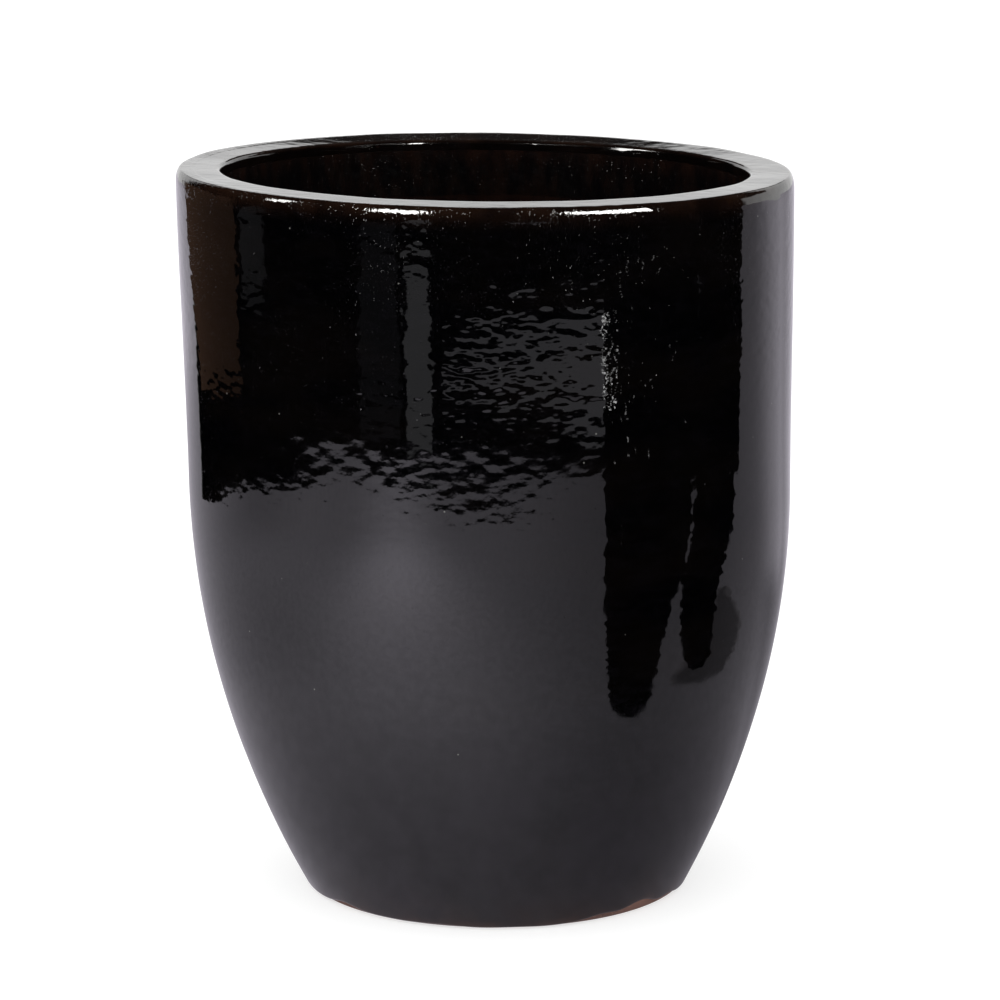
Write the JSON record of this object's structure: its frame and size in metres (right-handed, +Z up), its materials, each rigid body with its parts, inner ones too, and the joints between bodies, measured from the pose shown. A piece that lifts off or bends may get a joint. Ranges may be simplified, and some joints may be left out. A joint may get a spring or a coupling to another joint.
{
  "type": "glazed clay planter",
  "caption": "Tall round clay planter with a flat thick rim, near-straight upper wall and tapered foot, black glazed outside, with a removable drain plug.",
  "frame": {"origin": "middle of the foot, on the surface the pot stands on", "axes": "+Z up along the pot's axis, towards the mouth; the seen side faces -Y"},
  "size_m": [0.454, 0.454, 0.54],
  "materials": {
    "terracotta": "fired red clay, bare and matt",
    "black_glaze": "wet-look gloss, thinning to brown at the rim's edge",
    "liner_glaze": "thin pitted semi-gloss",
    "rubber": "matt moulded rubber"
  },
  "bodies": {
    "pot": {"clay_floor": "terracotta", "clay_wall_lower": "terracotta", "clay_wall_upper": "terracotta", "clay_rim": "terracotta", "glaze_outer": "black_glaze", "glaze_inner": "liner_glaze"},
    "plug": {"drain_plug": "rubber"}
  },
  "joints": [
    {"name": "plug_pull", "type": "slide", "parent": "pot", "child": "plug", "axis": [0, 0, 1], "range_m": [0, 0.03]}
  ]
}
